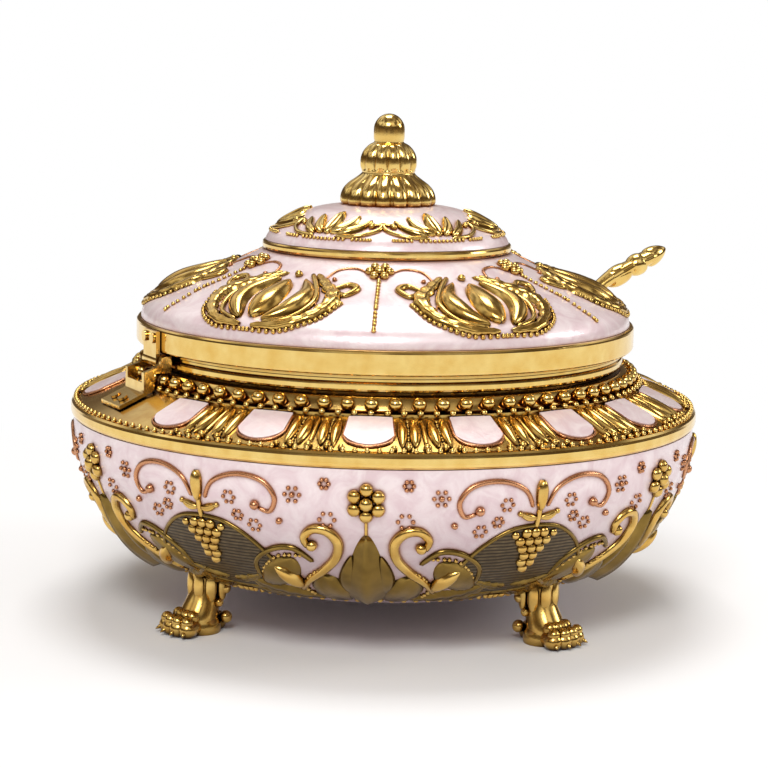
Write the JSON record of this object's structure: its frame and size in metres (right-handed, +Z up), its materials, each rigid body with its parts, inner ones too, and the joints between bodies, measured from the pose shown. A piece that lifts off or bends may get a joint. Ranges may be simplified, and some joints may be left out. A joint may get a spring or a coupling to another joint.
{
  "type": "sugar pot",
  "caption": "Round gilt sugar pot with pink enamel, on four lion's-paw feet, with a hinged lid, a tiered finial and a spoon that leaves through a notch in the lid.",
  "frame": {"origin": "on the pot's vertical axis, in the plane of the undersides of the paws", "axes": "+Z up; the lid's hinge is at -X and the spoon's notch at +X, so -Y is the front"},
  "size_m": [0.1448, 0.14, 0.1095],
  "materials": {
    "gilt": "polished gold plate on a cast alloy",
    "enamel": "pale pink pearl enamel on a cast alloy",
    "steel": "plain zinc-plated"
  },
  "bodies": {
    "pot": {"lower_bowl": "enamel", "rim_band": "gilt", "shoulder_cover": "gilt", "shoulder_enamel": "enamel", "bead_gallery": "gilt", "neck_tube": "gilt", "collar_ring": "gilt", "inner_pot": "gilt", "bowl_fans": "gilt", "cartouche_frames": "gilt", "foot_right_back": "gilt", "foot_left_back": "gilt", "foot_left_front": "gilt", "foot_right_front": "gilt", "foot_screws": "steel", "hinge_bracket": "gilt", "bracket_rivets": "gilt", "hinge_pin": "gilt"},
    "lid": {"lid_band": "gilt", "lid_seat_ring": "gilt", "lid_dome": "enamel", "lid_tulips": "gilt", "lid_bead_lines": "gilt", "crown_band": "gilt", "lid_crown": "enamel", "crown_leaves": "gilt", "finial": "gilt", "finial_stud": "steel", "finial_washer": "steel", "finial_nut": "steel", "lid_leaf": "gilt", "leaf_rivets": "gilt"},
    "spoon": {"spoon": "gilt"}
  },
  "joints": [
    {"name": "lid_hinge", "type": "hinge", "parent": "pot", "child": "lid", "pos_m": [-0.0553, 0, 0.057], "axis": [0, -1, 0], "range_deg": [0, 90]},
    {"name": "spoon_draw", "type": "slide", "parent": "pot", "child": "spoon", "axis": [0.7071, 0, 0.7071], "range_m": [0, 0.03]}
  ]
}
